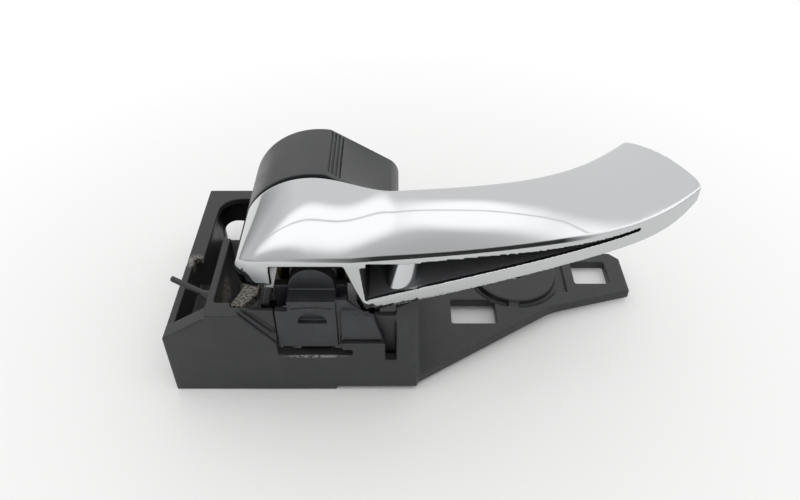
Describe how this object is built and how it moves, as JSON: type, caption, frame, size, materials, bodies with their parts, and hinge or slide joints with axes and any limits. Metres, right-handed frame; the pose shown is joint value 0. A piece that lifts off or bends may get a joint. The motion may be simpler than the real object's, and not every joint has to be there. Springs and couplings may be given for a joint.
{
  "type": "car interior door handle",
  "caption": "Interior car door handle: a curved plated pull lever and a dark lock knob turn on a shared pin in a moulded base with a screw plate.",
  "frame": {"origin": "centre of the fixing screw's hole on the face that meets the door", "axes": "+X along the handle to the lever's tip, +Y from the front of the base to its back, +Z out of the door"},
  "size_m": [0.1477, 0.0703, 0.0647],
  "materials": {
    "base_plastic": "moulded black plastic with a fine dull grain",
    "lever_plating": "bright chrome plating, polished, a little worn",
    "knob_plastic": "satin dark grey plastic",
    "pin_steel": "drawn steel",
    "washer_plastic": "plain natural nylon",
    "spring_wire": "yellow passivated spring wire",
    "pad_rubber": "dull black rubber"
  },
  "bodies": {
    "base": {"base_housing": "base_plastic", "fixing_plate": "base_plastic", "bearing_block": "base_plastic", "pivot_pin": "pin_steel", "pin_retaining_ring": "pin_steel", "front_washer": "washer_plastic", "middle_washer": "washer_plastic", "rear_washer": "washer_plastic", "lever_return_spring": "spring_wire", "lock_detent_leaf": "pin_steel", "lever_rest_pad": "pad_rubber", "lever_pull_pad": "pad_rubber", "lock_stop_pad": "pad_rubber", "unlock_stop_pad": "pad_rubber"},
    "lever": {"handle_lever": "lever_plating"},
    "knob": {"lock_knob": "knob_plastic"}
  },
  "joints": [
    {"name": "lever_pull", "type": "hinge", "parent": "base", "child": "lever", "pos_m": [-0.0635, -0.02555, 0.036], "axis": [0, -1, 0], "range_deg": [0, 38], "stiffness_Nm_per_rad": 0.4, "springref_deg": -28.65},
    {"name": "lock_turn", "type": "hinge", "parent": "base", "child": "knob", "pos_m": [-0.0635, -0.00385, 0.036], "axis": [0, 1, 0], "range_deg": [0, 25]}
  ]
}
